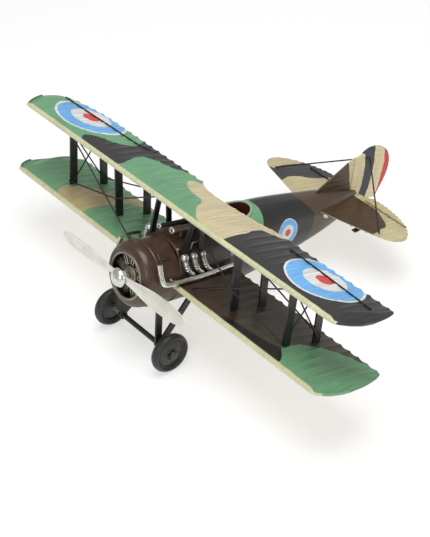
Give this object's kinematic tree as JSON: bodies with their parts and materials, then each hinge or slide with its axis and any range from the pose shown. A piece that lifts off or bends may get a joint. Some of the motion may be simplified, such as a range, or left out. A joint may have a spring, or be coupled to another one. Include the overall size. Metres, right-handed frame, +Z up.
{
  "type": "biplane scale model",
  "caption": "Display model of a two-bay biplane fighter in painted sheet metal, with a turning two-blade propeller and rolling wheels.",
  "frame": {"origin": "on the supporting surface, under the centre of the model's bounding box, as it stands on its wheels and tail skid", "axes": "+X towards the port wing tip, -Y towards the nose, +Z up"},
  "size_m": [0.432, 0.3152, 0.1376],
  "materials": {
    "camo_paint": "hand-painted camouflage in satin enamel",
    "red_liner": "dark red satin paint",
    "cream_paint": "satin paint",
    "brown_paint": "semi-gloss paint with worn edges",
    "striped_paint": "satin paint in upright stripes",
    "silver_metal": "bare metal with dark patina in the hollows",
    "bush_brass": "plain turned brass",
    "propeller_paint": "brushed off-white metallic paint",
    "gun_metal": "black paint rubbed to bare metal on the edges",
    "wheel_black": "satin black paint",
    "black_paint": "satin black paint"
  },
  "bodies": {
    "airframe": {"fuselage_shell": "camo_paint", "cockpit_liner": "red_liner", "cockpit_rim": "cream_paint", "engine_cowl": "brown_paint", "cowl_ring": "silver_metal", "cowl_hatch": "brown_paint", "engine_backplate": "black_paint", "crankcase": "silver_metal", "engine_cylinders": "silver_metal", "shaft_bush": "bush_brass", "exhaust_pipe_left": "silver_metal", "exhaust_pipe_right": "silver_metal", "exhaust_stubs_left": "silver_metal", "exhaust_stubs_right": "silver_metal", "gun_left": "gun_metal", "gun_right": "gun_metal", "upper_wing": "camo_paint", "lower_wing_left": "camo_paint", "lower_wing_right": "camo_paint", "aileron_rod_left": "black_paint", "aileron_rod_right": "black_paint", "strut_outer_front_left": "black_paint", "strut_outer_rear_left": "black_paint", "strut_inner_front_left": "black_paint", "strut_inner_rear_left": "black_paint", "strut_outer_front_right": "black_paint", "strut_outer_rear_right": "black_paint", "strut_inner_front_right": "black_paint", "strut_inner_rear_right": "black_paint", "cabane_front_left": "black_paint", "cabane_rear_left": "black_paint", "cabane_front_right": "black_paint", "cabane_rear_right": "black_paint", "cross_wires_left": "black_paint", "cross_wires_right": "black_paint", "bay_wires_left": "black_paint", "bay_wires_right": "black_paint", "tailplane": "camo_paint", "tail_fin": "brown_paint", "rudder": "striped_paint", "tail_wire_left": "black_paint", "tail_wire_right": "black_paint", "elevator_rods": "black_paint", "gear_leg_front_left": "black_paint", "gear_leg_rear_left": "black_paint", "gear_leg_front_right": "black_paint", "gear_leg_rear_right": "black_paint", "spreader_tube": "black_paint", "axle": "silver_metal", "axle_nuts": "silver_metal", "tail_skid": "black_paint"},
    "propeller": {"prop_shaft": "silver_metal", "propeller": "propeller_paint", "spinner_cap": "silver_metal"},
    "wheel_left": {"tyre_left": "wheel_black", "wheel_disc_left": "wheel_black", "hub_cap_left": "wheel_black"},
    "wheel_right": {"tyre_right": "wheel_black", "wheel_disc_right": "wheel_black", "hub_cap_right": "wheel_black"}
  },
  "joints": [
    {"name": "propeller_spin", "type": "hinge", "parent": "airframe", "child": "propeller", "pos_m": [0, -0.14887, 0.08224], "axis": [0, -0.9659, 0.2588], "continuous": true},
    {"name": "wheel_left_spin", "type": "hinge", "parent": "airframe", "child": "wheel_left", "pos_m": [0.0408, -0.13399, 0.018], "axis": [1, 0, 0], "continuous": true},
    {"name": "wheel_right_spin", "type": "hinge", "parent": "airframe", "child": "wheel_right", "pos_m": [-0.0408, -0.13399, 0.018], "axis": [1, 0, 0], "continuous": true}
  ]
}
